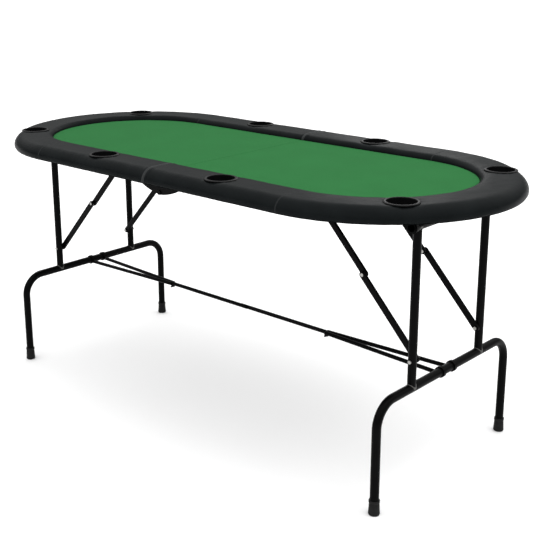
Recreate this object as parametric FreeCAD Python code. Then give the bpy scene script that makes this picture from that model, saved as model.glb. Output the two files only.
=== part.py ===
"""Folding poker table: an oval top in two hinged halves on two folding leg frames.

Frame: millimetres, +Z up, +X along the table, -Y is the near side. The origin is on the floor, under the
middle of the fold. Each half is built on the +X side and mirrored where the other half has the same piece.
Bodies: each half of the top, each leg frame, each pair of upper and lower braces, each tie fork and tie bar.
"""
import FreeCAD, Part
import math
import os

V = FreeCAD.Vector

# Top
TOP_LENGTH = 1800.0
TOP_WIDTH = 820.0
RAIL_TOP = 810.0            # floor to the top of the padded rail
RAIL_DEPTH = 40.0           # rail top down to the underside of the board
RAIL_WIDTH = 128.0
RAIL_OUTER_ROUND = 24.0
RAIL_INNER_ROUND = 10.0
RAIL_WRAP = 10.0            # padding and cover outside the board's edge
BOARD_THICK = 12.0
FELT_DROP = 17.5            # playing surface below the rail top
FOLD_GAP = 1.0              # between the two halves

# Cup holders, four in each half
CUP_BORE_R = 37.5
CUP_WALL = 2.5
CUP_FLANGE_LIP = 6.0        # flange beyond the cup's own wall
CUP_FLANGE_THICK = 3.0
CUP_FLANGE_SINK = 1.5       # how far the flange is pressed into the rail
CUP_DEPTH = 46.0            # under the flange, down to the cup's own underside
CUP_STRAIGHT_X = 243.0      # cups in the straight rails, from the fold
CUP_END_ANGLE = 43.0        # cups in the round ends, from the long axis
CUP_CLEAR = 0.3

# Fold hinge
HINGE_PIN_Z = 732.0
HINGE_PIN_R = 4.0
HINGE_INSET = 55.0          # board's edge in to the face where the two plates meet
HINGE_REACH = 85.0
HINGE_BACK = 12.0           # flange start, from the fold
HINGE_LOBE_R = 7.5
HINGE_TIP_DROP = 20.0       # plate height at its far end
HINGE_BELLY = 4.5           # how far the plate's lower edge bulges below a straight line

# Leg frames
LEG_X = 745.0
LEG_PIVOT_Z = 735.0
PIVOT_TUBE_R = 12.0
PIVOT_CUP_GAP = 2.0         # tube's end to the cups in the round end
POST_R = 11.5
POST_INSET = 29.0           # tube's end in to the post's axis
FRAME_R = 12.0
FRAME_WALL = 1.5
FOOT_INSET = 96.0           # top's edge in to the foot's axis
CROSSBAR_Z = 300.0
FRAME_BEND = 65.0
CAP_HEIGHT = 42.0
CAP_FLOOR = 5.0
CAP_BOTTOM_WALL = 3.5
CAP_TOP_WALL = 2.0
CAP_CHAMFER = 2.5

# Braces, one beside each post
BRACE_TOP_X = 410.0
BRACE_LEG_DROP = 360.0      # leg pivot down to the brace bolt
BRACE_WIDTH = 18.5
BRACE_ROUND = 2.5
LOWER_BRACE_THICK = 9.3
UPPER_BRACE_THICK = 9.5
LINK_GAP = 0.7              # between the two links
POST_GAP = 1.0              # between the post and the lower link
BRACE_BOLT_R = 3.0
BRACE_HEAD_R = 4.8
BRACE_HEAD_THICK = 3.0
BRACE_NUT_THICK = 4.0
NUT_GAP = 0.2
MID_HEAD_THICK = 0.7
BRACKET_GAP = 1.0

# Tie between the two leg frames
TIE_ROD_R = 6.0
TIE_ROD_DROP = 5.0          # rod axis below the crossbar's axis
TIE_EYE_Y = 27.0
TIE_EYE_WALL = 3.5
TIE_EYE_WIDTH = 10.0
TIE_END_Y = 5.5             # rods where they run into one another
TIE_PIN_X = 334.0
TIE_PIN_R = 1.5
TIE_KNUCKLE_R = 3.2
TIE_KNUCKLE_WIDTH = 7.0
TIE_WEB = 9.0               # knuckle's root along the rod
TIE_PIN_HEAD_R = 2.6
TIE_PIN_HEAD_THICK = 1.2
TIE_BAR_R = 6.5             # half-round bars, flat against flat where they overlap
TIE_BAR_PAST = 14.0         # how far each bar reaches past the fold
TIE_GAP = 0.3

# Sheet-metal brackets and their screws
PLATE = 3.0
BRACKET_LUG_R = 16.0
BRACKET_LENGTH = 56.0
BRACKET_FLANGE = 22.0
BRACE_LUG_R = 9.0
BRACE_PLATE_LENGTH = 44.0
SCREW_R = 1.8
SCREW_BITE = 9.0            # into the board
SCREW_HEAD_R = 4.0
SCREW_HEAD_THICK = 2.2
RUN_CLEAR = 0.05            # round a pin or a shaft that turns

# Levels and places that follow from the sizes above
BOARD_BOTTOM = RAIL_TOP - RAIL_DEPTH
BOARD_TOP = BOARD_BOTTOM + BOARD_THICK
FELT_TOP = RAIL_TOP - FELT_DROP
END_X = (TOP_LENGTH - TOP_WIDTH) / 2
HALF_WIDTH = TOP_WIDTH / 2
FELT_HALF = HALF_WIDTH - RAIL_WIDTH
BOARD_HALF = HALF_WIDTH - RAIL_WRAP
CUP_RADIUS = HALF_WIDTH - RAIL_WIDTH / 2
HALF_GAP = FOLD_GAP / 2
CUP_OUTER_R = CUP_BORE_R + CUP_WALL
CUP_FLANGE_R = CUP_OUTER_R + CUP_FLANGE_LIP
CUP_END_Y = CUP_RADIUS * math.sin(math.radians(CUP_END_ANGLE))
FLANGE_BOTTOM = RAIL_TOP - CUP_FLANGE_SINK
HINGE_Y = BOARD_HALF - HINGE_INSET
PIVOT_TUBE_HALF = CUP_END_Y - CUP_OUTER_R - PIVOT_CUP_GAP
POST_Y = PIVOT_TUBE_HALF - POST_INSET
FOOT_Y = HALF_WIDTH - FOOT_INSET
CAP_BOTTOM_R = FRAME_R + CAP_BOTTOM_WALL
CAP_TOP_R = FRAME_R + CAP_TOP_WALL
CROSS_DROP = LEG_PIVOT_Z - CROSSBAR_Z
LOWER_BRACE_Y = POST_Y - POST_R - POST_GAP - LOWER_BRACE_THICK
UPPER_BRACE_Y = LOWER_BRACE_Y - LINK_GAP - UPPER_BRACE_THICK
BRACE_PLATE_Y = UPPER_BRACE_Y - BRACKET_GAP - PLATE
PIVOT_PLATE_Y = PIVOT_TUBE_HALF - 2 * PLATE
TIE_Z = CROSSBAR_Z - TIE_ROD_DROP
TIE_PIN_Z = TIE_Z - TIE_BAR_R - TIE_GAP - TIE_KNUCKLE_R


def block(x0, x1, y0, y1, z0, z1):
    return Part.makeBox(x1 - x0, y1 - y0, z1 - z0, V(x0, y0, z0))


def upright(x, y, z0, z1, r):
    return Part.makeCylinder(r, z1 - z0, V(x, y, z0), V(0, 0, 1))


def across(x, z, y0, y1, r):
    """A round bar along Y."""
    return Part.makeCylinder(r, y1 - y0, V(x, y0, z), V(0, 1, 0))


def fused(*shapes):
    whole = shapes[0]
    for shape in shapes[1:]:
        whole = whole.fuse(shape)
    return whole.removeSplitter()


def group(*shapes):
    return Part.makeCompound(list(shapes))


def far(shape):
    """The same piece on the far side."""
    return shape.mirror(V(0, 0, 0), V(0, 1, 0))


def left(shape):
    """The same piece in the left half."""
    return shape.mirror(V(0, 0, 0), V(1, 0, 0))


def half_oval(half, z0, z1):
    """One half of the oval top, as a slab: a rectangle with a round end."""
    points = [V(END_X, half, z0), V(HALF_GAP, half, z0), V(HALF_GAP, -half, z0), V(END_X, -half, z0)]
    sides = [Part.LineSegment(a, b).toShape() for a, b in zip(points, points[1:])]
    arc = Part.Arc(points[3], V(END_X + half, 0, z0), points[0]).toShape()
    return Part.Face(Part.Wire(sides + [arc])).extrude(V(0, 0, z1 - z0))


def swept(points, bend, r):
    """A round bar along straight runs joined by tangent bends."""
    edges = []
    start = points[0]
    for before, corner, after in zip(points, points[1:], points[2:]):
        u = (before - corner).normalize()
        w = (after - corner).normalize()
        half_angle = u.getAngle(w) / 2
        reach = bend / math.tan(half_angle)
        middle = (u + w).normalize()
        centre = corner + middle * (bend / math.sin(half_angle))
        a = corner + u * reach
        b = corner + w * reach
        edges.append(Part.LineSegment(start, a).toShape())
        edges.append(Part.Arc(a, centre - middle * bend, b).toShape())
        start = b
    edges.append(Part.LineSegment(start, points[-1]).toShape())
    path = Part.Wire(edges)
    ring = Part.Wire(Part.Circle(points[0], points[1] - points[0], r).toShape())
    return path.makePipeShell([ring], True, False)


def link(start, end, y0, y1, width, rounding):
    """A flat bar with round ends, from one pivot to the other, in the plane of the swing."""
    along = V(end[0] - start[0], 0, end[1] - start[1])
    side = V(-along.z, 0, along.x).normalize() * (width / 2)
    ahead = V(along).normalize() * (width / 2)
    a = V(start[0], y0, start[1])
    b = V(end[0], y0, end[1])
    outline = [
        Part.LineSegment(a + side, b + side).toShape(),
        Part.Arc(b + side, b + ahead, b - side).toShape(),
        Part.LineSegment(b - side, a - side).toShape(),
        Part.Arc(a - side, a - ahead, a + side).toShape(),
    ]
    bar = Part.Face(Part.Wire(outline)).extrude(V(0, y1 - y0, 0))
    rims = [e for e in bar.Edges if e.BoundBox.YLength < RUN_CLEAR]
    return bar.makeFillet(rounding, rims)


def cup_places():
    """Cups of one half: near and far in the straights, near and far in the round end."""
    end_x = END_X + CUP_RADIUS * math.cos(math.radians(CUP_END_ANGLE))
    return {
        "near": (CUP_STRAIGHT_X, -CUP_RADIUS),
        "far": (CUP_STRAIGHT_X, CUP_RADIUS),
        "end_near": (end_x, -CUP_END_Y),
        "end_far": (end_x, CUP_END_Y),
    }


def cup_hollow():
    """What the cups take out of the rail and the board."""
    holes = []
    for x, y in cup_places().values():
        holes.append(upright(x, y, BOARD_BOTTOM - PLATE, RAIL_TOP + PLATE, CUP_OUTER_R + CUP_CLEAR))
        holes.append(upright(x, y, FLANGE_BOTTOM, RAIL_TOP + PLATE, CUP_FLANGE_R + CUP_CLEAR))
    return group(*holes)


def cup(x, y):
    """A shallow moulded cup with a flat flange that hangs it in the rail."""
    flange_top = FLANGE_BOTTOM + CUP_FLANGE_THICK
    bottom = FLANGE_BOTTOM - CUP_DEPTH
    flange = upright(x, y, FLANGE_BOTTOM, flange_top, CUP_FLANGE_R)
    rim = [e for e in flange.Edges if e.BoundBox.ZMin > flange_top - RUN_CLEAR and len(e.Vertexes) == 1]
    flange = flange.makeFillet(CUP_FLANGE_THICK / 2, rim)
    shell = fused(flange, upright(x, y, bottom, FLANGE_BOTTOM, CUP_OUTER_R))
    return shell.cut(upright(x, y, bottom + CUP_WALL, flange_top + PLATE, CUP_BORE_R))


def rail_face():
    """The rail's section on the near side, at the fold: it wraps the board's edge and lies on its top."""
    x = HALF_GAP
    outer = -HALF_WIDTH
    inner = -FELT_HALF
    diagonal = 1 - math.sqrt(0.5)
    o = RAIL_OUTER_ROUND
    i = RAIL_INNER_ROUND
    line = Part.LineSegment
    corners = [
        V(x, inner, RAIL_TOP - i),
        V(x, inner, BOARD_TOP),
        V(x, -BOARD_HALF, BOARD_TOP),
        V(x, -BOARD_HALF, BOARD_BOTTOM),
        V(x, outer, BOARD_BOTTOM),
        V(x, outer, RAIL_TOP - o),
    ]
    edges = [line(a, b).toShape() for a, b in zip(corners, corners[1:])]
    outer_top = V(x, outer + o, RAIL_TOP)
    inner_top = V(x, inner - i, RAIL_TOP)
    edges.append(Part.Arc(corners[-1], V(x, outer + o * diagonal, RAIL_TOP - o * diagonal), outer_top).toShape())
    edges.append(line(outer_top, inner_top).toShape())
    edges.append(Part.Arc(inner_top, V(x, inner - i * diagonal, RAIL_TOP - i * diagonal), corners[0]).toShape())
    return Part.Face(Part.Wire(edges))


def rails():
    """Padded rail of one half: two straights and the round end."""
    face = rail_face()
    holes = cup_hollow()
    straight = face.extrude(V(END_X - HALF_GAP, 0, 0))
    at_end = face.translated(V(END_X - HALF_GAP, 0, 0))
    end = at_end.revolve(V(END_X, 0, 0), V(0, 0, 1), 180)
    return {
        "rail_near": straight.cut(holes),
        "rail_far": far(straight).cut(holes),
        "rail_end": end.cut(holes),
    }


def screw(x, y):
    """A pan-head screw up through a flange into the board."""
    under = BOARD_BOTTOM - PLATE
    head = upright(x, y, under - SCREW_HEAD_THICK, under, SCREW_HEAD_R)
    low = [e for e in head.Edges if e.BoundBox.ZMax < under - SCREW_HEAD_THICK / 2]
    head = head.makeFillet(SCREW_HEAD_THICK / 2, low)
    return fused(head, upright(x, y, under, BOARD_BOTTOM + SCREW_BITE, SCREW_R))


def screw_holes(places):
    """What the screws' shanks take out of the board and the flanges."""
    return group(*[upright(x, y, BOARD_BOTTOM - 2 * PLATE, BOARD_BOTTOM + SCREW_BITE, SCREW_R)
                   for x, y in places])


def hinge_plate(y_face, towards, hole_r):
    """Near plate of the fold hinge, on the +X side. Its flange runs from y_face in the direction given."""
    web_end = y_face + towards * PLATE
    y0 = min(y_face, web_end)
    tip = V(HINGE_REACH, y0, BOARD_BOTTOM - HINGE_TIP_DROP)
    lobe_low = V(HINGE_LOBE_R / 2, y0, HINGE_PIN_Z - HINGE_LOBE_R * math.sqrt(0.75))
    lobe_back = V(-HINGE_LOBE_R / 2, y0, HINGE_PIN_Z + HINGE_LOBE_R * math.sqrt(0.75))
    straight = [lobe_low, lobe_back, V(HINGE_BACK, y0, BOARD_BOTTOM), V(HINGE_REACH, y0, BOARD_BOTTOM), tip]
    sides = [Part.LineSegment(a, b).toShape() for a, b in zip(straight, straight[1:])]
    lowest = (tip + lobe_low) * 0.5 - V(0, 0, HINGE_BELLY)
    belly = Part.Arc(tip, lowest, lobe_low).toShape()
    web = Part.Face(Part.Wire(sides + [belly])).extrude(V(0, PLATE, 0))
    lobe = across(0, HINGE_PIN_Z, y0, y0 + PLATE, HINGE_LOBE_R)
    flange_y = sorted((y_face, y_face + towards * BRACKET_FLANGE))
    flange = block(HINGE_BACK, HINGE_REACH, *flange_y, BOARD_BOTTOM - PLATE, BOARD_BOTTOM)
    return fused(web, lobe, flange).cut(across(0, HINGE_PIN_Z, y0 - PLATE, y0 + 2 * PLATE, hole_r))


def hinge_screw_places(towards):
    y = -HINGE_Y + towards * (PLATE + BRACKET_FLANGE) / 2
    third = (HINGE_REACH - HINGE_BACK) / 4
    return [(HINGE_BACK + third, y), (HINGE_REACH - third, y)]


def hinge_pin():
    """Near hinge pin: riveted in the inner plate, with a head at each end."""
    y_in = -HINGE_Y + PLATE
    y_out = -HINGE_Y - LINK_GAP - PLATE - NUT_GAP
    shank = across(0, HINGE_PIN_Z, y_out, y_in, HINGE_PIN_R)
    heads = [across(0, HINGE_PIN_Z, y_out - PLATE, y_out, HINGE_LOBE_R - 1),
             across(0, HINGE_PIN_Z, y_in, y_in + PLATE, HINGE_LOBE_R - 1)]
    return fused(shank, *heads)


def pivot_bracket():
    """Near bracket that carries the leg frame's pivot tube."""
    y0 = -PIVOT_PLATE_Y - PLATE
    lug = across(LEG_X, LEG_PIVOT_Z, y0, y0 + PLATE, BRACKET_LUG_R)
    web = block(LEG_X - BRACKET_LUG_R, LEG_X + BRACKET_LUG_R, y0, y0 + PLATE, LEG_PIVOT_Z, BOARD_BOTTOM)
    half = BRACKET_LENGTH / 2
    flange = block(LEG_X - half, LEG_X + half, y0, y0 + BRACKET_FLANGE, BOARD_BOTTOM - PLATE, BOARD_BOTTOM)
    bore = across(LEG_X, LEG_PIVOT_Z, y0 - PLATE, y0 + 2 * PLATE, PIVOT_TUBE_R + RUN_CLEAR)
    return fused(lug, web, flange).cut(bore)


def brace_bracket():
    """Near bracket that carries the upper brace."""
    y0 = -BRACE_PLATE_Y - PLATE
    half = BRACE_PLATE_LENGTH / 2
    lug = across(BRACE_TOP_X, LEG_PIVOT_Z, y0, y0 + PLATE, BRACE_LUG_R)
    web = block(BRACE_TOP_X - BRACE_LUG_R, BRACE_TOP_X + BRACE_LUG_R, y0, y0 + PLATE,
                LEG_PIVOT_Z, BOARD_BOTTOM)
    flange = block(BRACE_TOP_X - half, BRACE_TOP_X + half, y0, y0 + BRACKET_FLANGE,
                   BOARD_BOTTOM - PLATE, BOARD_BOTTOM)
    bore = across(BRACE_TOP_X, LEG_PIVOT_Z, y0 - PLATE, y0 + 2 * PLATE, BRACE_BOLT_R)
    return fused(lug, web, flange).cut(bore)


def bracket_screw_places():
    """Screws of the near pivot bracket and the near brace bracket."""
    pivot_y = -PIVOT_PLATE_Y - PLATE + (PLATE + BRACKET_FLANGE) / 2
    brace_y = -BRACE_PLATE_Y - PLATE + (PLATE + BRACKET_FLANGE) / 2
    pivot_step = BRACKET_LENGTH / 2 - 2 * SCREW_HEAD_R
    brace_step = BRACE_PLATE_LENGTH / 2 - 2 * SCREW_HEAD_R
    return [(LEG_X - pivot_step, pivot_y), (LEG_X + pivot_step, pivot_y),
            (BRACE_TOP_X - brace_step, brace_y), (BRACE_TOP_X + brace_step, brace_y)]


def brace_top_pin():
    """Near pin of the upper brace. Its inner end is flush with the link, so the lower link can pass."""
    y_in = -BRACE_PLATE_Y
    y_out = -UPPER_BRACE_Y - UPPER_BRACE_THICK
    head = across(BRACE_TOP_X, LEG_PIVOT_Z, y_in, y_in + PLATE, BRACE_HEAD_R)
    return fused(head, across(BRACE_TOP_X, LEG_PIVOT_Z, y_out, y_in, BRACE_BOLT_R))


def brace_points():
    """Pivots of the braces at rest, as (x, z): on the top, at mid-length and on the post.

    The links are so long that, folded, both lie level beside the post and still meet.
    """
    top = (BRACE_TOP_X, LEG_PIVOT_Z)
    leg = (LEG_X, LEG_PIVOT_Z - BRACE_LEG_DROP)
    reach = math.hypot(LEG_X - BRACE_TOP_X, BRACE_LEG_DROP)
    folded_leg_x = LEG_X - BRACE_LEG_DROP
    upper = (reach + folded_leg_x - BRACE_TOP_X) / 2
    share = upper / reach
    mid = (top[0] + (leg[0] - top[0]) * share, top[1] + (leg[1] - top[1]) * share)
    return top, mid, leg


def upper_brace():
    top, mid, leg = brace_points()
    y0 = -UPPER_BRACE_Y - UPPER_BRACE_THICK
    bar = link(top, mid, y0, -UPPER_BRACE_Y, BRACE_WIDTH, BRACE_ROUND)
    holes = [across(*top, y0 - PLATE, -UPPER_BRACE_Y + PLATE, BRACE_BOLT_R + RUN_CLEAR),
             across(*mid, y0 - PLATE, -UPPER_BRACE_Y + PLATE, BRACE_BOLT_R)]
    return bar.cut(group(*holes))


def lower_brace():
    top, mid, leg = brace_points()
    y0 = -LOWER_BRACE_Y - LOWER_BRACE_THICK
    bar = link(mid, leg, y0, -LOWER_BRACE_Y, BRACE_WIDTH, BRACE_ROUND)
    holes = [across(*leg, y0 - PLATE, -LOWER_BRACE_Y + PLATE, BRACE_BOLT_R + RUN_CLEAR),
             across(*mid, y0 - PLATE, -LOWER_BRACE_Y + PLATE, BRACE_BOLT_R)]
    return bar.cut(group(*holes))


def mid_rivet_inner():
    """Near half of the mid-joint rivet in the upper link: its head is on the table's inner side."""
    top, mid, leg = brace_points()
    y0 = -UPPER_BRACE_Y - UPPER_BRACE_THICK
    shank = across(*mid, y0, -UPPER_BRACE_Y, BRACE_BOLT_R)
    return fused(shank, across(*mid, -UPPER_BRACE_Y, -UPPER_BRACE_Y + PLATE / 2, BRACE_HEAD_R))


def mid_rivet_outer():
    """Near half of the mid-joint rivet in the lower link: a thin head towards the post."""
    top, mid, leg = brace_points()
    y0 = -LOWER_BRACE_Y - LOWER_BRACE_THICK
    shank = across(*mid, y0, -LOWER_BRACE_Y, BRACE_BOLT_R)
    return fused(shank, across(*mid, y0 - MID_HEAD_THICK, y0, BRACE_HEAD_R))


def brace_leg_bolt():
    """Near bolt through the post and the lower link, with its nut inside."""
    top, mid, leg = brace_points()
    y_head = -POST_Y - POST_R
    y_nut = -LOWER_BRACE_Y + NUT_GAP
    shank = across(*leg, y_head, y_nut, BRACE_BOLT_R)
    head = across(*leg, y_head - BRACE_HEAD_THICK, y_head, BRACE_HEAD_R)
    nut = across(*leg, y_nut, y_nut + BRACE_NUT_THICK, BRACE_HEAD_R)
    return fused(head, shank, nut)


def foot_frame():
    """U-shaped tube: a crossbar with a bend down to each foot."""
    points = [V(LEG_X, -FOOT_Y, CAP_FLOOR), V(LEG_X, -FOOT_Y, CROSSBAR_Z),
              V(LEG_X, FOOT_Y, CROSSBAR_Z), V(LEG_X, FOOT_Y, CAP_FLOOR)]
    outer = swept(points, FRAME_BEND, FRAME_R)
    return outer.cut(swept(points, FRAME_BEND, FRAME_R - FRAME_WALL))


def post():
    """Near post: its ends are shaped to the two tubes that it is welded to."""
    y = -POST_Y
    body = upright(LEG_X, y, CROSSBAR_Z, LEG_PIVOT_Z, POST_R)
    hollow = upright(LEG_X, y, CROSSBAR_Z, LEG_PIVOT_Z, POST_R - FRAME_WALL)
    ends = group(across(LEG_X, CROSSBAR_Z, -FOOT_Y, 0, FRAME_R),
                 across(LEG_X, LEG_PIVOT_Z, -FOOT_Y, 0, PIVOT_TUBE_R))
    bolt_hole = across(LEG_X, LEG_PIVOT_Z - BRACE_LEG_DROP, y - 2 * POST_R, y + 2 * POST_R, BRACE_BOLT_R)
    return body.cut(hollow).cut(ends).cut(bolt_hole)


def pivot_tube():
    tube = across(LEG_X, LEG_PIVOT_Z, -PIVOT_TUBE_HALF, PIVOT_TUBE_HALF, PIVOT_TUBE_R)
    return tube.cut(across(LEG_X, LEG_PIVOT_Z, -PIVOT_TUBE_HALF, PIVOT_TUBE_HALF, PIVOT_TUBE_R - FRAME_WALL))


def foot_cap():
    """Near rubber cap, pushed over the tube's end."""
    cone = Part.makeCone(CAP_BOTTOM_R, CAP_TOP_R, CAP_HEIGHT, V(LEG_X, -FOOT_Y, 0), V(0, 0, 1))
    sole = [e for e in cone.Edges if e.BoundBox.ZMax < RUN_CLEAR]
    return cone.makeChamfer(CAP_CHAMFER, sole).cut(upright(LEG_X, -FOOT_Y, CAP_FLOOR, CAP_HEIGHT, FRAME_R))


def tie_rod():
    """Near rod of the tie fork: an eye round the crossbar, then a straight run in to its pair."""
    start = V(LEG_X - FRAME_R - 1, -TIE_EYE_Y, TIE_Z)
    run = V(TIE_PIN_X + TIE_GAP, -TIE_END_Y, TIE_Z) - start
    rod = Part.makeCylinder(TIE_ROD_R, run.Length + TIE_ROD_R, start, run)
    half = TIE_EYE_WIDTH / 2
    eye = across(LEG_X, CROSSBAR_Z, -TIE_EYE_Y - half, -TIE_EYE_Y + half, FRAME_R + TIE_EYE_WALL)
    bore = across(LEG_X, CROSSBAR_Z, -2 * TIE_EYE_Y, 0, FRAME_R + RUN_CLEAR)
    return fused(rod, eye).cut(bore)


def tie_knuckle(y0, root_x):
    """A hinge knuckle under the tie, with its root along the rod or the bar from the pin to root_x."""
    y1 = y0 + TIE_KNUCKLE_WIDTH
    root = block(*sorted((TIE_PIN_X, root_x)), y0, y1, TIE_PIN_Z, TIE_Z)
    return fused(across(TIE_PIN_X, TIE_PIN_Z, y0, y1, TIE_KNUCKLE_R), root)


def tie_end(x0, x1):
    """What is cut off beyond the plane where the rods and the bar meet, above the knuckles."""
    return block(x0, x1, -TIE_EYE_Y, TIE_EYE_Y, TIE_PIN_Z + TIE_KNUCKLE_R, CROSSBAR_Z + FRAME_R)


def tie_fork(knuckle_y):
    rod = tie_rod()
    knuckle = tie_knuckle(knuckle_y, TIE_PIN_X + TIE_WEB)
    fork = fused(rod, far(rod), knuckle)
    beyond = tie_end(TIE_PIN_X - 2 * TIE_WEB, TIE_PIN_X + TIE_GAP)
    pin = across(TIE_PIN_X, TIE_PIN_Z, -TIE_EYE_Y, TIE_EYE_Y, TIE_PIN_R)
    return fork.cut(beyond).cut(pin)


def tie_bar(towards, knuckle_y):
    """A half-round bar from the tie pin to just past the fold, against the flat of the other half's bar."""
    end = TIE_PIN_X - TIE_GAP
    bar = Part.makeCylinder(TIE_BAR_R, end + TIE_BAR_PAST, V(-TIE_BAR_PAST, 0, TIE_Z), V(1, 0, 0))
    flat_y = sorted((towards * TIE_GAP / 2, towards * 2 * TIE_BAR_R))
    kept = block(-TIE_BAR_PAST, end, *flat_y, TIE_Z - TIE_BAR_R, TIE_Z + TIE_BAR_R)
    knuckle = tie_knuckle(knuckle_y, TIE_PIN_X - TIE_WEB)
    beyond = tie_end(end, TIE_PIN_X + 2 * TIE_WEB)
    pin = across(TIE_PIN_X, TIE_PIN_Z, -TIE_EYE_Y, TIE_EYE_Y, TIE_PIN_R + RUN_CLEAR)
    return fused(bar.common(kept), knuckle).cut(beyond).cut(pin)


def tie_pin():
    half = TIE_KNUCKLE_WIDTH + 2 * TIE_GAP
    shank = across(TIE_PIN_X, TIE_PIN_Z, -half, half, TIE_PIN_R)
    head = across(TIE_PIN_X, TIE_PIN_Z, half, half + TIE_PIN_HEAD_THICK, TIE_PIN_HEAD_R)
    return fused(shank, head, far(head))


def save(node, shape):
    shape.exportStep(f"parts/{node}.step")


def save_both(node, shape):
    """A piece that is the same in both halves."""
    save(f"{node}_right", shape)
    save(f"{node}_left", left(shape))


def save_top():
    """The two halves of the top, with everything fixed under them."""
    holes = cup_hollow()
    inner = hinge_plate(-HINGE_Y, 1, HINGE_PIN_R)
    outer = hinge_plate(-HINGE_Y - LINK_GAP, -1, HINGE_PIN_R + RUN_CLEAR)
    for side, plate, towards in (("left", inner, 1), ("right", outer, -1)):
        place = left if side == "left" else (lambda shape: shape)
        near = hinge_screw_places(towards) + bracket_screw_places()
        places = near + [(x, -y) for x, y in near]
        taken = screw_holes(places)
        board = half_oval(BOARD_HALF, BOARD_BOTTOM, BOARD_TOP).cut(holes).cut(taken)
        plate = plate.cut(taken)
        save(f"board_{side}", place(board))
        save(f"hinge_plate_near_{side}", place(plate))
        save(f"hinge_plate_far_{side}", place(far(plate)))
        save(f"screws_{side}", place(group(*[screw(x, y) for x, y in places])))
        pivot = pivot_bracket().cut(taken)
        brace = brace_bracket().cut(taken)
        pin = brace_top_pin()
        save(f"leg_pivot_brackets_{side}", place(group(pivot, far(pivot))))
        save(f"brace_brackets_{side}", place(group(brace, far(brace), pin, far(pin))))
    save("hinge_pins", group(hinge_pin(), far(hinge_pin())))
    save_both("felt_pad", half_oval(FELT_HALF, BOARD_TOP, FELT_TOP))
    for name, rail in rails().items():
        save_both(name, rail)
    for name, (x, y) in cup_places().items():
        save_both(f"cup_{name}", cup(x, y))


def save_legs():
    """The leg frames with their braces."""
    save_both("foot_frame", foot_frame())
    save_both("pivot_tube", pivot_tube())
    save_both("post_near", post())
    save_both("post_far", far(post()))
    save_both("foot_caps", group(foot_cap(), far(foot_cap())))
    save_both("brace_bolts", group(brace_leg_bolt(), far(brace_leg_bolt())))
    save_both("upper_brace_near", upper_brace())
    save_both("upper_brace_far", far(upper_brace()))
    save_both("lower_brace_near", lower_brace())
    save_both("lower_brace_far", far(lower_brace()))
    save_both("mid_rivets_inner", group(mid_rivet_inner(), far(mid_rivet_inner())))
    save_both("mid_rivets_outer", group(mid_rivet_outer(), far(mid_rivet_outer())))


def save_ties():
    """The tie that keeps the two leg frames apart, in two folding halves."""
    save_both("tie_pin", tie_pin())
    before = -TIE_KNUCKLE_WIDTH - TIE_GAP / 2
    beyond = TIE_GAP / 2
    save("tie_fork_right", tie_fork(before))
    save("tie_bar_right", tie_bar(1, beyond))
    save("tie_fork_left", left(tie_fork(beyond)))
    save("tie_bar_left", left(tie_bar(-1, before)))


os.makedirs("parts", exist_ok=True)
save_top()
save_legs()
save_ties()
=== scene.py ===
import math

import bmesh
import bpy
from mathutils import Matrix, Vector, noise


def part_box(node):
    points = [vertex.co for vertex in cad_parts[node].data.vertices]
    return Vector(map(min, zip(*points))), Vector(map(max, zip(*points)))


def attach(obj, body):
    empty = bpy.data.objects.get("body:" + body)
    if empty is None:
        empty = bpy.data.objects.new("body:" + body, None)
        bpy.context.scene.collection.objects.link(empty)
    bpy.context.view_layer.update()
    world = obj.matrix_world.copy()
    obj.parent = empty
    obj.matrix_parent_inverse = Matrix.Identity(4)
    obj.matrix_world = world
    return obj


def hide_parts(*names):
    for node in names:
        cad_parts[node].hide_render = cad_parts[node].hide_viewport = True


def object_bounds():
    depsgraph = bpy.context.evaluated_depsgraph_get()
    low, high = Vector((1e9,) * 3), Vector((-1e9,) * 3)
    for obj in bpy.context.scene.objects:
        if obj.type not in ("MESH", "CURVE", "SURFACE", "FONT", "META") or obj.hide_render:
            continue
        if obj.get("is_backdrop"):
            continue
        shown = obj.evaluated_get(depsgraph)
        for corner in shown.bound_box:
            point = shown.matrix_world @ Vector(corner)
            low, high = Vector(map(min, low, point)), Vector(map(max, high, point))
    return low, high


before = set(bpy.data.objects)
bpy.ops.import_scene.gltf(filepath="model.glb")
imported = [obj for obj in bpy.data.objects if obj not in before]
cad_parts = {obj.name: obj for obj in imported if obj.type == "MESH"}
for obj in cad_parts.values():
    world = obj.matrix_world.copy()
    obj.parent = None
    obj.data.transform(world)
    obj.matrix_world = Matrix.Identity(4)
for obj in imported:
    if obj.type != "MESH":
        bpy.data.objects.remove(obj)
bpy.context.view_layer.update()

# ---------------------------------------------------------------- Camera
# A long lens three metres from the middle of the table and 0.6 m above the
# rail, off the near right corner, so the whole oval and all four feet show.
looking_down = 15.28
leaning = 0.47
turned = 43.52
camera_data = bpy.data.cameras.new("camera")
camera_data.lens = 67.7
camera_data.shift_x = 0.0556
camera_data.shift_y = -0.0879
camera = bpy.data.objects.new("camera", camera_data)
bpy.context.scene.collection.objects.link(camera)
bpy.context.scene.camera = camera
camera.location = (2.0654, -2.1964, 1.4048)
camera.rotation_euler = (math.radians(90 - looking_down), math.radians(leaning), math.radians(turned))

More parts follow.
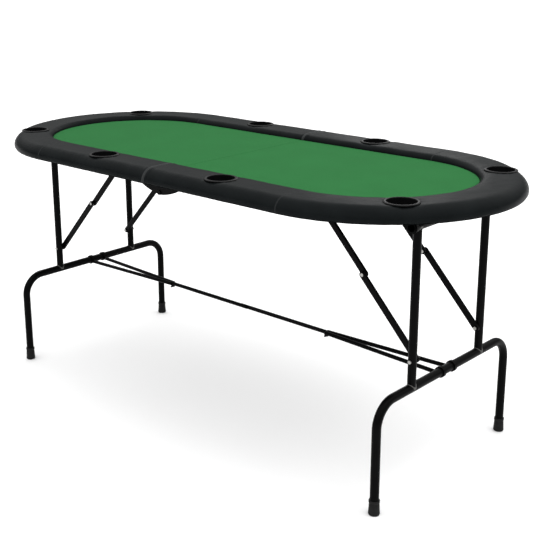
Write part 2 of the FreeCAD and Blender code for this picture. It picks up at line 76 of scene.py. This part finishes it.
# ---------------------------------------------------------------- Studio
# A white floor that runs out of sight under a bright ceiling, with dim walls
# that keep the black rail and legs black, and two soft lights on the rail.
floor_reach = 45
wall_light = 0.16
ceiling_light = 1.65
floor_mesh = bpy.data.meshes.new("floor")
bm = bmesh.new()
bmesh.ops.create_grid(bm, x_segments=1, y_segments=1, size=floor_reach)
bm.to_mesh(floor_mesh)
bm.free()
floor = bpy.data.objects.new("floor", floor_mesh)
bpy.context.scene.collection.objects.link(floor)
floor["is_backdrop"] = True
floor_paint = bpy.data.materials.new("floor_paint")
floor_paint.use_nodes = True
floor_shader = floor_paint.node_tree.nodes["Principled BSDF"]
floor_shader.inputs["Base Color"].default_value = (0.97, 0.97, 0.97, 1)
floor_shader.inputs["Roughness"].default_value = 0.9
floor_shader.inputs["Specular IOR Level"].default_value = 0.1
floor_mesh.materials.append(floor_paint)

world = bpy.data.worlds.new("room")
world.use_nodes = True
room = world.node_tree
direction = room.nodes.new("ShaderNodeTexCoord")
parts = room.nodes.new("ShaderNodeSeparateXYZ")
height = room.nodes.new("ShaderNodeMapRange")
height.interpolation_type = "SMOOTHSTEP"
height.inputs["From Min"].default_value = 0.08
height.inputs["From Max"].default_value = 0.56
height.inputs["To Min"].default_value = wall_light
height.inputs["To Max"].default_value = ceiling_light
room.links.new(direction.outputs["Generated"], parts.inputs["Vector"])
room.links.new(parts.outputs["Z"], height.inputs["Value"])
room.links.new(height.outputs["Result"], room.nodes["Background"].inputs["Strength"])
room.nodes["Background"].inputs["Color"].default_value = (1, 1, 1, 1)
bpy.context.scene.world = world
bpy.context.scene.view_settings.view_transform = "Standard"


def soft_light(name, place, aim, size, watts):
    """A square softbox that points at the table."""
    data = bpy.data.lights.new(name, "AREA")
    data.shape = "SQUARE"
    data.size = size
    data.energy = watts
    lamp = bpy.data.objects.new(name, data)
    bpy.context.scene.collection.objects.link(lamp)
    lamp.location = place
    lamp.rotation_euler = (Vector(aim) - Vector(place)).to_track_quat("-Z", "Y").to_euler()


soft_light("overhead", (1.2, 0.3, 3.2), (0.4, 0, 0.8), size=2.4, watts=26)
soft_light("back_left", (-1.6, 3.2, 1.9), (0.8, -0.1, 0.8), size=0.9, watts=3.5)

# ---------------------------------------------------------------- Padded rail
# Foam on the board's edge under black vinyl, sewn from a straight panel and a
# round end panel on each half and pulled round the board's edge. The cups
# press it down, and at the fold the cover is gathered into the corner.
halves = {"left": -1, "right": 1}
straight_low, straight_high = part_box("rail_near_right")
board_low, board_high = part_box("board_right")
rail_outer = -straight_low.y
rail_inner = -straight_high.y
rail_width = rail_outer - rail_inner
rail_base = straight_low.z
rail_top = straight_high.z
fold_face = straight_low.x
end_centre = straight_high.x
board_edge = -board_low.y
board_top = board_high.z


def group_of(name, inputs, outputs):
    """An empty shader group with named sockets: {name: (type, default)} and {name: type}."""
    group = bpy.data.node_groups.new(name, "ShaderNodeTree")
    for label, (kind, value) in inputs.items():
        made = group.interface.new_socket(name=label, in_out="INPUT", socket_type=kind)
        made.default_value = value
    for label, kind in outputs.items():
        group.interface.new_socket(name=label, in_out="OUTPUT", socket_type=kind)
    start = group.nodes.new("NodeGroupInput")
    end = group.nodes.new("NodeGroupOutput")
    return group, start, end


def math_node(tree, operation, first, second=0):
    """One sum on two values, each a socket or a number."""
    node = tree.nodes.new("ShaderNodeMath")
    node.operation = operation
    for socket, value in zip(node.inputs, (first, second)):
        if isinstance(value, (int, float)):
            socket.default_value = value
        else:
            tree.links.new(value, socket)
    return node.outputs[0]


def ranged(tree, value, to_min, to_max, from_min=0.0, from_max=1.0):
    """A value moved from one range to another and held at both ends."""
    node = tree.nodes.new("ShaderNodeMapRange")
    node.inputs["From Min"].default_value = from_min
    node.inputs["From Max"].default_value = from_max
    node.inputs["To Min"].default_value = to_min
    node.inputs["To Max"].default_value = to_max
    tree.links.new(value, node.inputs["Value"])
    return node.outputs["Result"]


def colour_between(tree, share, first, second):
    """A colour between two, each a socket or its red, green and blue."""
    node = tree.nodes.new("ShaderNodeMix")
    node.data_type = "RGBA"
    share_in, first_in, second_in = node.inputs[0], node.inputs[6], node.inputs[7]
    tree.links.new(share, share_in)
    for socket, colour in ((first_in, first), (second_in, second)):
        if isinstance(colour, tuple):
            socket.default_value = (*colour, 1)
        else:
            tree.links.new(colour, socket)
    return node.outputs[2]


def pebble_group():
    """Pebbled skin, moulded or sprayed: rounded cells of one size with finer noise between them."""
    group, start, end = group_of(
        "pebbled_skin",
        {"Cells per metre": ("NodeSocketFloat", 900.0), "Noise share": ("NodeSocketFloat", 0.4)},
        {"Height": "NodeSocketFloat"},
    )
    place = group.nodes.new("ShaderNodeTexCoord")
    cells = group.nodes.new("ShaderNodeTexVoronoi")
    cells.feature = "SMOOTH_F1"
    cells.inputs["Smoothness"].default_value = 0.6
    fine = group.nodes.new("ShaderNodeTexNoise")
    fine.inputs["Detail"].default_value = 3
    for node in (cells, fine):
        group.links.new(place.outputs["Object"], node.inputs["Vector"])
        group.links.new(start.outputs["Cells per metre"], node.inputs["Scale"])
    shared = math_node(group, "MULTIPLY", fine.outputs["Fac"], start.outputs["Noise share"])
    group.links.new(math_node(group, "ADD", cells.outputs["Distance"], shared), end.inputs["Height"])
    return group


def handling_group():
    """Slow tone change that handling leaves on a surface, from 0 to 1, in patches of a stated size."""
    group, start, end = group_of(
        "handling_marks",
        {"Patches per metre": ("NodeSocketFloat", 6.0), "Contrast": ("NodeSocketFloat", 1.0)},
        {"Mask": "NodeSocketFloat"},
    )
    place = group.nodes.new("ShaderNodeTexCoord")
    wide = group.nodes.new("ShaderNodeTexNoise")
    wide.inputs["Detail"].default_value = 5
    wide.inputs["Roughness"].default_value = 0.62
    group.links.new(place.outputs["Object"], wide.inputs["Vector"])
    group.links.new(start.outputs["Patches per metre"], wide.inputs["Scale"])
    centred = math_node(group, "SUBTRACT", wide.outputs["Fac"], 0.5)
    scaled = math_node(group, "MULTIPLY", centred, start.outputs["Contrast"])
    lifted = math_node(group, "ADD", scaled, 0.5)
    lifted.node.use_clamp = True
    group.links.new(lifted, end.inputs["Mask"])
    return group


pebbled_skin = pebble_group()
handling_marks = handling_group()


def finish_of(name, dark, light, roughness, pebbles, bump, patches, shine=0.5, metal=0.0):
    """A material with two tones, two roughnesses and a pebble, from the two groups above.

    Pebbles and patches are counted per metre.
    """
    material = bpy.data.materials.new(name)
    material.use_nodes = True
    tree = material.node_tree
    shader = tree.nodes["Principled BSDF"]
    shader.inputs["Specular IOR Level"].default_value = shine
    shader.inputs["Metallic"].default_value = metal
    marks = tree.nodes.new("ShaderNodeGroup")
    marks.node_tree = handling_marks
    marks.inputs["Patches per metre"].default_value = patches
    marks.inputs["Contrast"].default_value = 2.2
    mask = marks.outputs["Mask"]
    tree.links.new(colour_between(tree, mask, dark, light), shader.inputs["Base Color"])
    tree.links.new(ranged(tree, mask, *roughness), shader.inputs["Roughness"])
    skin = tree.nodes.new("ShaderNodeGroup")
    skin.node_tree = pebbled_skin
    skin.inputs["Cells per metre"].default_value = pebbles
    lift = tree.nodes.new("ShaderNodeBump")
    lift.inputs["Strength"].default_value = bump
    lift.inputs["Distance"].default_value = 0.0004
    tree.links.new(skin.outputs["Height"], lift.inputs["Height"])
    tree.links.new(lift.outputs["Normal"], shader.inputs["Normal"])
    return material


def rail_vinyl():
    """Black vinyl, with a painted grey highlight where the halves meet at the fold and along the end seams,
    standing in for light on their rounded edges.
    """
    material = finish_of("rail_vinyl", (0.0040, 0.0050, 0.0053), (0.0070, 0.0085, 0.0090), (0.30, 0.42),
                         pebbles=950, bump=0.16, patches=9, shine=0.022)
    # Painted highlight: a lighter grey laid into the colour along the fold and the end seams, in place of the
    # light their rounded edges catch.
    seam_highlight_grey = (0.045, 0.047, 0.048)
    tree = material.node_tree
    shader = tree.nodes["Principled BSDF"]
    black = shader.inputs["Base Color"].links[0].from_socket
    place = tree.nodes.new("ShaderNodeTexCoord")
    along = tree.nodes.new("ShaderNodeSeparateXYZ")
    tree.links.new(place.outputs["Object"], along.inputs["Vector"])
    from_fold = math_node(tree, "ABSOLUTE", along.outputs["X"])
    from_seam = math_node(tree, "ABSOLUTE", math_node(tree, "SUBTRACT", from_fold, end_centre))
    at_fold = ranged(tree, from_fold, 0.8, 0, from_min=0.0030, from_max=0.0062)
    at_seam = ranged(tree, from_seam, 0.35, 0, from_min=0.0012, from_max=0.0030)
    # The stronger of the two masks sets how much painted highlight goes into the black.
    painted_seam_highlight = math_node(tree, "MAXIMUM", at_fold, at_seam)
    tree.links.new(colour_between(tree, painted_seam_highlight, black, seam_highlight_grey), shader.inputs["Base Color"])
    return material


vinyl = rail_vinyl()
cup_nodes = [f"cup_{place}_{side}" for side in halves
             for place in ("near", "far", "end_near", "end_far")]


def middle_of(node):
    """The middle of a CAD piece's box."""
    low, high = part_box(node)
    return (low + high) / 2


cup_centres = [middle_of(node) for node in cup_nodes]
hole_radius = 0.0412
flange_radius = 0.046
cover_grid = 0.004


def piece_from(bm, name, material, body):
    """The finished mesh as a smooth object that rides on its body."""
    mesh = bpy.data.meshes.new(name)
    bm.to_mesh(mesh)
    bm.free()
    mesh.materials.append(material)
    mesh.shade_smooth()
    piece = bpy.data.objects.new(name, mesh)
    bpy.context.scene.collection.objects.link(piece)
    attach(piece, body)
    return piece


def section_outline():
    """The rail's section as loose edges at the fold: round over the top, a small turn under the board."""
    bm = bmesh.new()
    corners = [(-rail_outer, rail_base), (-rail_outer, rail_top), (-rail_inner, rail_top),
               (-rail_inner, board_top), (-board_edge, board_top), (-board_edge, rail_base)]
    loop = [bm.verts.new((fold_face, y, z)) for y, z in corners]
    under_corner, outer_corner, inner_corner = loop[:3]
    bm.faces.new(loop)
    for corner, offset, segments in ((outer_corner, 0.033, 10), (inner_corner, 0.015, 6),
                                     (under_corner, 0.004, 3)):
        bmesh.ops.bevel(bm, geom=[corner], offset=offset, offset_type="OFFSET", segments=segments,
                        profile=0.5, affect="VERTICES", material=-1)
    bmesh.ops.delete(bm, geom=bm.faces[:], context="FACES_ONLY")
    for edge in bm.edges[:]:
        cuts = int(edge.calc_length() / cover_grid)
        if cuts:
            bmesh.ops.subdivide_edges(bm, edges=[edge], cuts=cuts)
    return bm


def open_for_cups(bm):
    """Cuts the cover and the foam for each cup, and closes the cut with a round wall."""
    for centre in cup_centres:
        lost = [f for f in bm.faces
                if (f.calc_center_median().xy - centre.xy).length < hole_radius and abs(f.normal.z) > 0.5]
        if not lost:
            continue
        bmesh.ops.delete(bm, geom=lost, context="FACES")
        rims = [e for e in bm.edges if e.is_boundary]
        for vert in {v for e in rims for v in e.verts}:
            out = (vert.co.xy - centre.xy).normalized() * hole_radius
            vert.co.x = centre.x + out.x
            vert.co.y = centre.y + out.y
        bmesh.ops.bridge_loops(bm, edges=rims)


def across_rail(point):
    """How far a point is in from the table's outer edge."""
    beyond = max(abs(point.x) - end_centre, 0)
    return rail_outer - math.hypot(beyond, point.y)


def pressed_by_cup(here, centre):
    """How far a cup's flange pulls the cover down at a point, with small puckers that run out from it."""
    cup_reach = 0.1
    press_depth = 0.0013
    press_edge = 0.0535
    press_softness = 0.0035
    pucker_depth = 0.0004
    pucker_fade = 0.009
    puckers_round = 13
    away = (here.xy - centre.xy).length
    if away >= cup_reach:
        return 0
    press = 1 / (1 + math.exp((away - press_edge) / press_softness))
    turn = math.atan2(here.y - centre.y, here.x - centre.x)
    pucker = math.sin(puckers_round * turn + 2 * noise.noise(here * 30))
    pucker *= math.exp(-max(away - flange_radius, 0) / pucker_fade)
    outside_hole = away > hole_radius + 0.0008
    return press_depth * press + pucker_depth * pucker * outside_hole


def gathered_at_fold(here, from_fold):
    """How far the cover's side stands out at a point, in gathers that die away from the fold."""
    gather_depth = 0.0011
    gather_fade = 0.035
    waves = 760
    side_top = 0.803
    set_in = 0.0004
    lower = min(max((side_top - here.z) / 0.02, 0), 1)
    wave = math.sin(from_fold * waves + 2.5 * noise.noise(here * 60))
    gather = gather_depth * wave * lower * math.exp(-from_fold / gather_fade)
    return math.copysign(gather, here.y) - math.copysign(set_in, here.y)


def upholster(bm):
    """Crowns the foam, presses it under the cup flanges and lifts and gathers the cover at the fold."""
    crown_drop = 0.0060
    lump_depth = 0.0007
    lip_rise = 0.0013
    lip_place = 0.009
    lip_width = 0.006
    most_rise = 0.0012
    side_depth = 0.03
    gather_reach = 0.11
    for vert in bm.verts:
        here = vert.co.copy()
        share = min(max((here.z - board_top) / (rail_top - board_top), 0), 1)
        inward = across_rail(here)
        swing = inward / rail_width * 2 - 1
        drop = crown_drop * abs(swing) ** 4
        drop += lump_depth * (noise.noise(here * 17) + 0.5 * noise.noise(here * 41))
        for centre in cup_centres:
            drop += pressed_by_cup(here, centre)
        from_fold = abs(here.x)
        drop -= lip_rise * math.exp(-((from_fold - lip_place) / lip_width) ** 2)
        vert.co.z -= share * max(drop, -most_rise)
        if inward < side_depth and from_fold < gather_reach:
            vert.co.y += gathered_at_fold(here, from_fold)


def rail_piece(name, node, body, round_end, flip_x, flip_y):
    """One panel of the rail, made on the near right and turned over to its place."""
    end_steps = 272
    straight_steps = 124
    near_fold = 0.1
    fold_round = 0.0032
    seam_round = 0.0016
    bm = section_outline()
    reach = end_centre - fold_face
    if round_end:
        bmesh.ops.translate(bm, verts=bm.verts[:], vec=(reach, 0, 0))
        bmesh.ops.spin(bm, geom=bm.edges[:] + bm.verts[:], cent=(end_centre, 0, 0), axis=(0, 0, 1),
                       angle=math.pi, steps=end_steps)
    else:
        bmesh.ops.spin(bm, geom=bm.edges[:] + bm.verts[:], cent=(0, 0, 0), axis=(0, 0, 1),
                       dvec=(reach / straight_steps, 0, 0), angle=0, steps=straight_steps)
    bmesh.ops.scale(bm, vec=(flip_x, flip_y, 1), verts=bm.verts[:])
    ends = [e for e in bm.edges if e.is_boundary]
    bmesh.ops.holes_fill(bm, edges=ends, sides=0)
    bmesh.ops.recalc_face_normals(bm, faces=bm.faces[:])
    at_fold = [e for e in ends if abs(e.verts[0].co.x) < near_fold]
    at_seam = [e for e in ends if e not in at_fold]
    for edges, offset in ((at_fold, fold_round), (at_seam, seam_round)):
        if edges:
            bmesh.ops.bevel(bm, geom=edges, offset=offset, offset_type="OFFSET", segments=3, profile=0.5,
                            affect="EDGES", material=-1, clamp_overlap=True)
    open_for_cups(bm)
    upholster(bm)
    bmesh.ops.recalc_face_normals(bm, faces=bm.faces[:])
    piece = piece_from(bm, name, vinyl, body)
    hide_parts(node)


for side, sign in halves.items():
    body = f"{side}_top"
    rail_piece(f"rail_cover_near_{side}", f"rail_near_{side}", body, False, sign, 1)
    rail_piece(f"rail_cover_far_{side}", f"rail_far_{side}", body, False, sign, -1)
    rail_piece(f"rail_cover_end_{side}", f"rail_end_{side}", body, True, sign, 1)

# ---------------------------------------------------------------- Turned-under hem
# The vinyl is folded under the board along its whole outer edge and fixed
# there with thin steel staples, a hand's breadth apart.
hem_width = 0.016
hem_thick = 0.0012
hem_tuck = 0.003
hem_level = rail_base - hem_thick
straight_run = end_centre - fold_face
staple_count = 34
staple_size = (0.010, 0.0009, 0.0006)
staple_slant = 0.25
staple_steel = finish_of("staple_steel", (0.45, 0.45, 0.46), (0.6, 0.6, 0.6), (0.3, 0.42),
                         pebbles=600, bump=0.05, patches=30, metal=1.0)


def under_edge(inset, count):
    """Places and turns along the underside of the right half, inset from the board's edge."""
    reach = board_edge - inset
    total = 2 * straight_run + math.pi * reach
    for step in range(count):
        at = total * (step + 0.5) / count
        if at < straight_run:
            yield Vector((fold_face + at, -reach, 0)), 0
        elif at < straight_run + math.pi * reach:
            turn = (at - straight_run) / reach
            yield Vector((end_centre + reach * math.sin(turn), -reach * math.cos(turn), 0)), turn
        else:
            yield Vector((end_centre - (at - straight_run - math.pi * reach), reach, 0)), math.pi


def hem_strip():
    """The turned-under vinyl of the right half, a little uneven, from the near side round to the far."""
    run_steps = 20
    bm = bmesh.new()
    strip = [bm.verts.new((fold_face, -rail_outer + hem_tuck, hem_level)),
             bm.verts.new((fold_face, -board_edge + hem_width, hem_level))]
    edge = bm.edges.new(strip)
    made = bmesh.ops.spin(bm, geom=[edge, *strip], cent=(0, 0, 0), axis=(0, 0, 1),
                          dvec=(straight_run / run_steps, 0, 0), angle=0, steps=run_steps)["geom_last"]
    made = bmesh.ops.spin(bm, geom=made, cent=(end_centre, 0, 0), axis=(0, 0, 1),
                          angle=math.pi, steps=90)["geom_last"]
    bmesh.ops.spin(bm, geom=made, cent=(0, 0, 0), axis=(0, 0, 1),
                   dvec=(-straight_run / run_steps, 0, 0), angle=0, steps=run_steps)
    bmesh.ops.remove_doubles(bm, verts=bm.verts[:], dist=1e-6)
    bmesh.ops.subdivide_edges(bm, edges=[e for e in bm.edges if e.calc_length() > 0.02], cuts=2)
    for vert in bm.verts:
        vert.co.z += 0.0004 * noise.noise(vert.co * 90)
    bmesh.ops.solidify(bm, geom=bm.faces[:], thickness=-hem_thick * 0.8)
    return bm


def staple_row():
    """The staples of the right half, each a flat crown at a slight slant to the edge."""
    bm = bmesh.new()
    for place, turn in under_edge(hem_width * 0.45, staple_count):
        crown = bmesh.ops.create_cube(bm, size=1)["verts"]
        bmesh.ops.scale(bm, vec=staple_size, verts=crown)
        bmesh.ops.rotate(bm, verts=crown, cent=(0, 0, 0), matrix=Matrix.Rotation(turn + staple_slant, 3, "Z"))
        bmesh.ops.translate(bm, verts=crown, vec=(place.x, place.y, hem_level - 0.0005))
    return bm


for side, sign in halves.items():
    for made_right, name, material, slot in ((hem_strip, "hem", vinyl, "rail_vinyl"),
                                             (staple_row, "staples", staple_steel, "zinc")):
        bm = made_right()
        bmesh.ops.scale(bm, vec=(sign, 1, 1), verts=bm.verts[:])
        bmesh.ops.recalc_face_normals(bm, faces=bm.faces[:])
        piece_from(bm, f"{name}_{side}", material, f"{side}_top")

# ---------------------------------------------------------------- Playing cloth
# Green speed cloth over a thin sheet of foam, one pad on each half, tucked
# down along the rail and rolled over the board's edge at the fold.
cloth_rim_round = 0.0034
cloth_below_top = 0.0006
cloth_width_share = 0.9995


def cloth_material():
    """Close woven cloth: fine crossed threads, a short nap and soft patches where it has been brushed."""
    material = bpy.data.materials.new("playing_felt")
    material.use_nodes = True
    tree = material.node_tree
    shader = tree.nodes["Principled BSDF"]
    shader.inputs["Specular IOR Level"].default_value = 0.03
    shader.inputs["Sheen Weight"].default_value = 0.035
    shader.inputs["Sheen Roughness"].default_value = 0.5
    shader.inputs["Sheen Tint"].default_value = (0.45, 0.9, 0.5, 1)
    dark_green = (0.0125, 0.093, 0.0235)
    light_green = (0.024, 0.137, 0.040)
    place = tree.nodes.new("ShaderNodeTexCoord")
    marks = tree.nodes.new("ShaderNodeGroup")
    marks.node_tree = handling_marks
    marks.inputs["Patches per metre"].default_value = 11
    marks.inputs["Contrast"].default_value = 1.6
    nap = tree.nodes.new("ShaderNodeTexNoise")
    nap.inputs["Scale"].default_value = 420
    nap.inputs["Detail"].default_value = 4
    tree.links.new(place.outputs["Object"], nap.inputs["Vector"])
    speckle = math_node(tree, "MULTIPLY", nap.outputs["Fac"], 0.6)
    brushed = math_node(tree, "MULTIPLY", marks.outputs["Mask"], 0.4)
    blend = math_node(tree, "ADD", speckle, brushed)
    tree.links.new(colour_between(tree, blend, dark_green, light_green), shader.inputs["Base Color"])
    tree.links.new(ranged(tree, marks.outputs["Mask"], 0.82, 0.95), shader.inputs["Roughness"])
    threads = []
    for across in ("X", "Y"):
        wave = tree.nodes.new("ShaderNodeTexWave")
        wave.wave_type = "BANDS"
        wave.bands_direction = across
        wave.inputs["Scale"].default_value = 260
        wave.inputs["Distortion"].default_value = 1.2
        wave.inputs["Detail"].default_value = 1
        tree.links.new(place.outputs["Object"], wave.inputs["Vector"])
        threads.append(wave.outputs["Fac"])
    weave = math_node(tree, "MULTIPLY", *threads)
    lift = tree.nodes.new("ShaderNodeBump")
    lift.inputs["Strength"].default_value = 0.35
    lift.inputs["Distance"].default_value = 0.0005
    tree.links.new(math_node(tree, "ADD", weave, nap.outputs["Fac"]), lift.inputs["Height"])
    tree.links.new(lift.outputs["Normal"], shader.inputs["Normal"])
    return material


felt = cloth_material()
for side, sign in halves.items():
    low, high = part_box(f"felt_pad_{side}")
    half = high.y
    start = min(abs(low.x), abs(high.x))
    top = high.z
    bm = bmesh.new()
    bmesh.ops.create_grid(bm, x_segments=96, y_segments=72, size=1)
    for vert in bm.verts:
        y = vert.co.y * half * cloth_width_share
        reach = end_centre + math.sqrt(half * half - y * y) - start
        vert.co = Vector(((start + (vert.co.x + 1) / 2 * reach) * sign, y, top - cloth_below_top))
    rim = [e for e in bm.edges if e.is_boundary]
    skirt = bmesh.ops.extrude_edge_only(bm, edges=rim)["geom"]
    dropped = [g for g in skirt if isinstance(g, bmesh.types.BMVert)]
    bmesh.ops.translate(bm, verts=dropped, vec=(0, 0, low.z - top + cloth_below_top))
    bottom = [e for e in bm.edges if e.is_boundary]
    bmesh.ops.holes_fill(bm, edges=bottom, sides=0)
    bmesh.ops.bevel(bm, geom=rim, offset=cloth_rim_round, offset_type="OFFSET", segments=3, profile=0.5,
                    affect="EDGES", material=-1, clamp_overlap=True)
    for vert in bm.verts:
        if vert.co.z > top - 0.0008:
            vert.co.z += 0.00035 * noise.noise(vert.co * 14)
    bmesh.ops.recalc_face_normals(bm, faces=bm.faces[:])
    cloth = piece_from(bm, f"playing_cloth_{side}", felt, f"{side}_top")
    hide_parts(f"felt_pad_{side}")

# ---------------------------------------------------------------- Cup holders
# Black moulded cups with a rounded flange, dropped into the rail. The floor
# has a shallow raised ring that keeps a wet glass from sticking.
cup_plastic = finish_of("cup_plastic", (0.0025, 0.0026, 0.0028), (0.0045, 0.0046, 0.005), (0.22, 0.32),
                        pebbles=500, bump=0.04, patches=25, shine=0.05)
flange_thick = 0.003


def cup_outline(floor_z, flange_z):
    """Half-section of a cup, from the middle of its floor round the rim to the middle underneath."""
    bore = 0.0375
    wall = 0.0400
    inside = floor_z + 0.0025
    ring_top = floor_z + 0.0034
    top = flange_z + flange_thick
    floor_ring = [(0, inside), (0.020, inside), (0.0215, ring_top), (0.0235, ring_top), (0.025, inside)]
    inner_wall = [(0.0335, inside), (0.0362, floor_z + 0.0040), (bore, floor_z + 0.0068), (bore, flange_z)]
    flange = [(0.0378, top - 0.0006), (0.0388, top), (0.0415, top), (0.0442, top - 0.0006),
              (0.0457, top - 0.0017), (flange_radius, flange_z + 0.0002), (0.0450, flange_z)]
    outer_wall = [(wall, flange_z), (wall, floor_z + 0.0045), (0.0385, floor_z + 0.0012),
                  (0.0355, floor_z), (0, floor_z)]
    return floor_ring + inner_wall + flange + outer_wall


def turn_outline(bm, outline, x, y, steps):
    """Turns a half-section, as points of radius and height, round an upright line."""
    points = [bm.verts.new((x + radius, y, z)) for radius, z in outline]
    edges = [bm.edges.new(pair) for pair in zip(points, points[1:])]
    bmesh.ops.spin(bm, geom=points + edges, cent=(x, y, 0), axis=(0, 0, 1), angle=2 * math.pi,
                   steps=steps, use_merge=True)


for node in cup_nodes:
    low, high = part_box(node)
    centre = middle_of(node)
    bm = bmesh.new()
    turn_outline(bm, cup_outline(low.z, high.z - flange_thick), centre.x, centre.y, steps=72)
    bmesh.ops.remove_doubles(bm, verts=bm.verts[:], dist=1e-5)
    bmesh.ops.recalc_face_normals(bm, faces=bm.faces[:])
    side = node.rsplit("_", 1)[1]
    holder = piece_from(bm, f"{node}_holder", cup_plastic, f"{side}_top")
    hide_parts(node)

# ---------------------------------------------------------------- Boards
# Two half-oval wooden boards that everything is screwed to, sealed dark
# underneath. Their tops are hidden by the cloth and the rail.
sealed_board = finish_of("sealed_board", (0.006, 0.0056, 0.005), (0.012, 0.011, 0.010), (0.55, 0.75),
                         pebbles=260, bump=0.25, patches=14, shine=0.2)


def coat(node, material):
    """Gives a CAD piece one finish all over."""
    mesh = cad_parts[node].data
    mesh.materials.clear()
    mesh.materials.append(material)


for side in halves:
    coat(f"board_{side}", sealed_board)

# ---------------------------------------------------------------- Steelwork
# Tubes, links, tie rods, brackets, hinge plates and their pins, all in the
# same satin black powder coat with its slight orange peel.
powder_coat = finish_of("powder_coat", (0.0012, 0.0012, 0.0013), (0.0022, 0.0023, 0.0024), (0.30, 0.40),
                        pebbles=1300, bump=0.10, patches=12, shine=0.035)
coated = ["foot_frame", "pivot_tube", "post_near", "post_far", "upper_brace_near", "upper_brace_far",
          "lower_brace_near", "lower_brace_far", "tie_fork", "tie_bar", "hinge_plate_near",
          "hinge_plate_far", "leg_pivot_brackets", "brace_brackets", "tie_pin"]
coat("hinge_pins", powder_coat)
for side in halves:
    for name in coated:
        coat(f"{name}_{side}", powder_coat)

# ---------------------------------------------------------------- Weld beads
# Each post is welded all round to the crossbar below and the pivot tube
# above. The beads show a little grey through the coat, and their small bumps
# come from a fixed seed, so they are the same each time.
bead_radius = 0.0015
bead_stand_off = 0.0003
bead_unevenness = 0.0005
bead_seed = 5
noise.seed_set(bead_seed)
weld_coat = finish_of("weld_coat", (0.02, 0.02, 0.02), (0.075, 0.072, 0.066), (0.4, 0.55),
                      pebbles=700, bump=0.3, patches=160)
for side in halves:
    for row in ("near", "far"):
        low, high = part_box(f"post_{row}_{side}")
        centre = (low + high) / 2
        post_radius = (high.x - low.x) / 2
        bar_low, bar_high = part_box(f"foot_frame_{side}")
        tube_radius = (bar_high.x - bar_low.x) / 2
        crossbar_z = bar_high.z - tube_radius
        pivot_z = middle_of(f"pivot_tube_{side}").z
        bm = bmesh.new()
        for level, up in ((crossbar_z, 1), (pivot_z, -1)):
            ring = bmesh.ops.create_circle(bm, segments=8, radius=bead_radius)["verts"]
            bmesh.ops.rotate(bm, verts=ring, cent=(0, 0, 0), matrix=Matrix.Rotation(math.pi / 2, 3, "X"))
            bmesh.ops.translate(bm, verts=ring, vec=(centre.x + post_radius + bead_stand_off, centre.y, 0))
            rims = [e for e in bm.edges if all(v in ring for v in e.verts)]
            before = set(bm.verts) - set(ring)
            bmesh.ops.spin(bm, geom=ring + rims, cent=(centre.x, centre.y, 0), axis=(0, 0, 1),
                           angle=2 * math.pi, steps=48, use_merge=True)
            for vert in set(bm.verts) - before:
                along = vert.co.x - centre.x
                saddle = math.sqrt(max(tube_radius ** 2 - along ** 2, 0))
                vert.co.z += level + up * saddle
                vert.co += bead_unevenness * noise.noise_vector(vert.co * 420)
        bmesh.ops.recalc_face_normals(bm, faces=bm.faces[:])
        piece_from(bm, f"welds_{row}_{side}", weld_coat, f"leg_frame_{side}")

# ---------------------------------------------------------------- Foot caps
# Black rubber caps pushed over the tube ends: a collar, a flare and a soft
# rounded sole.
cap_rubber = finish_of("cap_rubber", (0.004, 0.004, 0.004), (0.008, 0.008, 0.008), (0.5, 0.66),
                       pebbles=700, bump=0.2, patches=40, shine=0.15)
sole_thick = 0.006


def cap_outline(radius, tube, height):
    """Half-section of a cap, from the middle of its sole over the collar and down inside to the tube."""
    sole = [(0, 0), (radius - 0.0040, 0), (radius - 0.0012, 0.0012), (radius, 0.0045),
            (radius - 0.0003, 0.0075)]
    flare = [(radius - 0.0011, 0.020), (radius - 0.0018, height - 0.0085), (radius - 0.0024, height - 0.0080)]
    collar = [(radius - 0.0010, height - 0.0068), (radius - 0.0008, height - 0.0018),
              (radius - 0.0016, height)]
    socket = [(tube + 0.0004, height), (tube, height - 0.0010), (tube, sole_thick), (0, sole_thick)]
    return sole + flare + collar + socket


for side in halves:
    low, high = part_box(f"foot_caps_{side}")
    x = (low.x + high.x) / 2
    radius = (high.x - low.x) / 2
    tube_low, tube_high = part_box(f"foot_frame_{side}")
    tube = (tube_high.x - tube_low.x) / 2 + 0.0001
    bm = bmesh.new()
    for y in (low.y + radius, high.y - radius):
        turn_outline(bm, cap_outline(radius, tube, high.z), x, y, steps=48)
    bmesh.ops.remove_doubles(bm, verts=bm.verts[:], dist=1e-5)
    bmesh.ops.recalc_face_normals(bm, faces=bm.faces[:])
    caps = piece_from(bm, f"rubber_feet_{side}", cap_rubber, f"leg_frame_{side}")
    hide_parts(f"foot_caps_{side}")

# ---------------------------------------------------------------- Bolts, rivets and screws
# Zinc-plated steel, a little dull, as it comes from the box: the bolts and
# rivets that the braces turn on, and the screws up into the boards.
zinc = finish_of("zinc_plate", (0.26, 0.26, 0.25), (0.42, 0.41, 0.39), (0.26, 0.4),
                 pebbles=800, bump=0.08, patches=60, metal=1.0)
for side in halves:
    for name in ("brace_bolts", "mid_rivets_inner", "mid_rivets_outer", "screws"):
        coat(f"{name}_{side}", zinc)

low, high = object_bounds()
